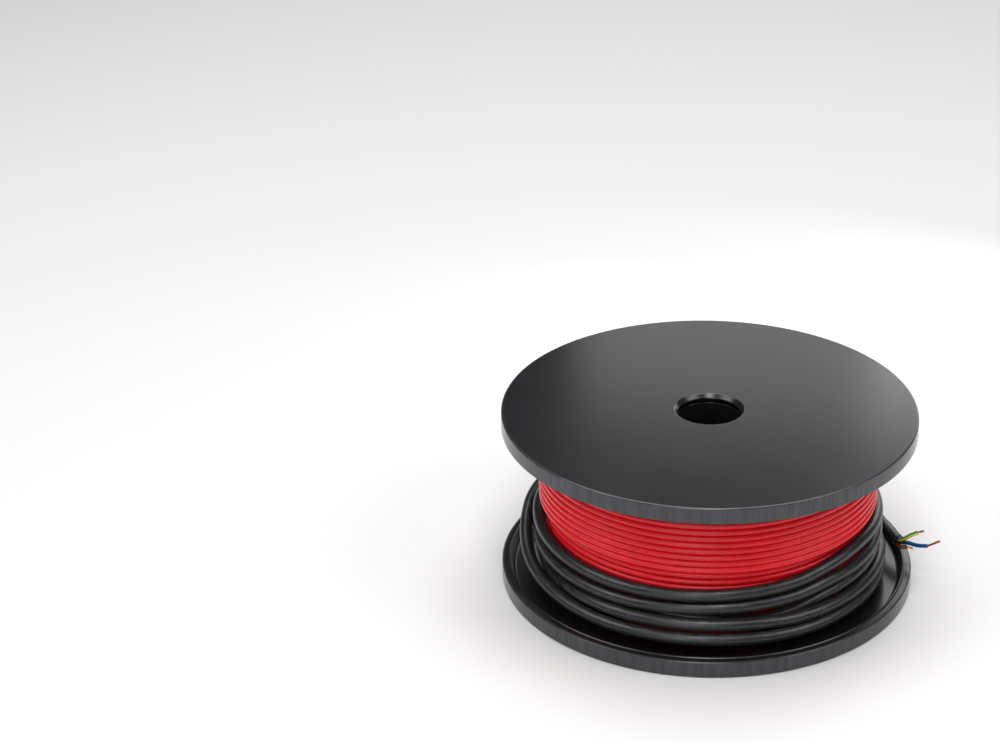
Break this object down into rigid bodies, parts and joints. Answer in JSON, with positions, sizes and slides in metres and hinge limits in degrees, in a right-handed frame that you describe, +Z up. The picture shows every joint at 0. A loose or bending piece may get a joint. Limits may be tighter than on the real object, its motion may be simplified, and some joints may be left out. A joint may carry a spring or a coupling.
{
  "type": "underfloor heating cable on a reel",
  "caption": "Black plastic reel standing on its flange, wound with thin red underfloor heating cable and its black supply lead, whose stripped coloured cores stick out.",
  "frame": {"origin": "centre of the reel's foot, the flat outer face of the lower flange", "axes": "+Z up along the reel's axis, +X towards the lead's stripped end, -Y towards the viewer of the picture"},
  "size_m": [0.2134, 0.2, 0.0893],
  "materials": {
    "reel_plastic": "satin",
    "red_sheath": "satin",
    "black_sheath": "satin",
    "brown_insulation": "gloss",
    "blue_insulation": "gloss",
    "green_yellow_insulation": "gloss",
    "bare_copper": "bright"
  },
  "bodies": {
    "root": {"lower_flange": "reel_plastic", "upper_flange": "reel_plastic", "barrel": "reel_plastic", "heating_cable": "red_sheath", "cold_lead": "black_sheath", "core_brown": "brown_insulation", "core_blue": "blue_insulation", "core_green_yellow": "green_yellow_insulation", "copper_brown": "bare_copper", "copper_blue": "bare_copper", "copper_green_yellow": "bare_copper"}
  },
  "joints": []
}
